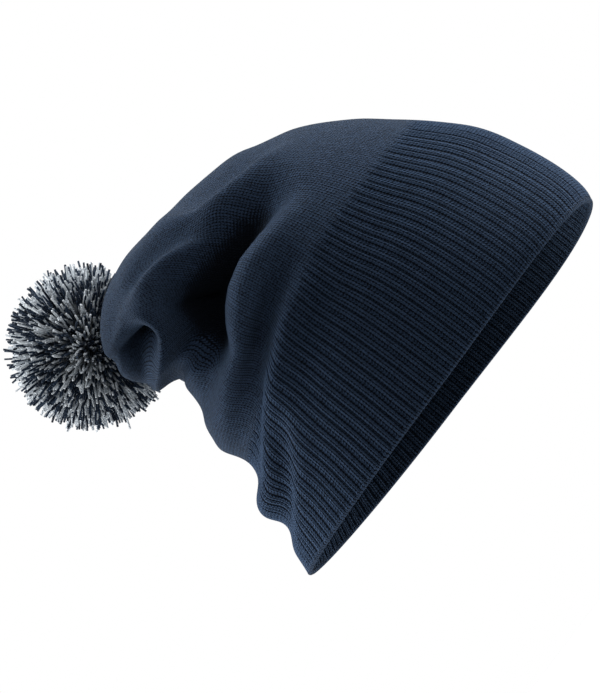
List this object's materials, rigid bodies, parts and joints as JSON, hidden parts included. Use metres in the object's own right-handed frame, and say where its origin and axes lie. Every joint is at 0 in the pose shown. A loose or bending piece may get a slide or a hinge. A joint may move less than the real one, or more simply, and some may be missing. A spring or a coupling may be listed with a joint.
{
  "type": "knit beanie",
  "caption": "Slouchy double-layer knit beanie with a ribbed band, a plain bag that falls backwards and a two-colour yarn pompom.",
  "frame": {"origin": "centre of the head opening, in the plane of the hem", "axes": "+Z out of the crown, -Y towards the forehead, +Y towards the nape, X side to side"},
  "size_m": [0.1662, 0.2283, 0.178],
  "materials": {
    "knit_navy": "rib and plain knit, fuzzy matte",
    "lining_navy": "rib knit, fuzzy matte",
    "thread_navy": "matte thread",
    "yarn_navy": "soft matte yarn",
    "yarn_grey": "soft matte yarn",
    "label_white": "woven satin tape"
  },
  "bodies": {
    "band": {"ribbed_band": "knit_navy", "hem_fold": "knit_navy", "band_lining": "lining_navy", "label_stitches": "thread_navy"},
    "label": {"care_label": "label_white"},
    "crown": {"crown_shell": "knit_navy", "crown_lining": "lining_navy", "crown_drawstring": "thread_navy", "lining_drawstring": "thread_navy", "tie_knot": "yarn_grey"},
    "tie_lower": {"tie_cord_lower": "yarn_grey"},
    "tie_upper": {"tie_cord_upper": "yarn_grey"},
    "pompom": {"core_binding": "yarn_navy", "navy_yarn": "yarn_navy", "grey_yarn": "yarn_grey"}
  },
  "joints": [
    {"name": "crown_slouch", "type": "hinge", "parent": "band", "child": "crown", "pos_m": [0, -0.084, 0.0925], "axis": [1, 0, 0], "range_deg": [0, 12]},
    {"name": "label_flap", "type": "hinge", "parent": "band", "child": "label", "pos_m": [0, 0.0852, 0.031], "axis": [1, 0, 0], "range_deg": [-60, 0]},
    {"name": "pompom_nod", "type": "hinge", "parent": "crown", "child": "tie_lower", "pos_m": [0, 0.07054, 0.12572], "axis": [1, 0, 0], "range_deg": [-8, 8], "stiffness_Nm_per_rad": 0.02},
    {"name": "pompom_sway", "type": "hinge", "parent": "tie_lower", "child": "tie_upper", "pos_m": [0, 0.0729, 0.12882], "axis": [0, -0.7965, 0.6046], "range_deg": [-8, 8], "stiffness_Nm_per_rad": 0.02},
    {"name": "pompom_twist", "type": "hinge", "parent": "tie_upper", "child": "pompom", "pos_m": [0, 0.07605, 0.13296], "axis": [0, 0.6046, 0.7965], "range_deg": [-30, 30], "stiffness_Nm_per_rad": 0.002}
  ]
}
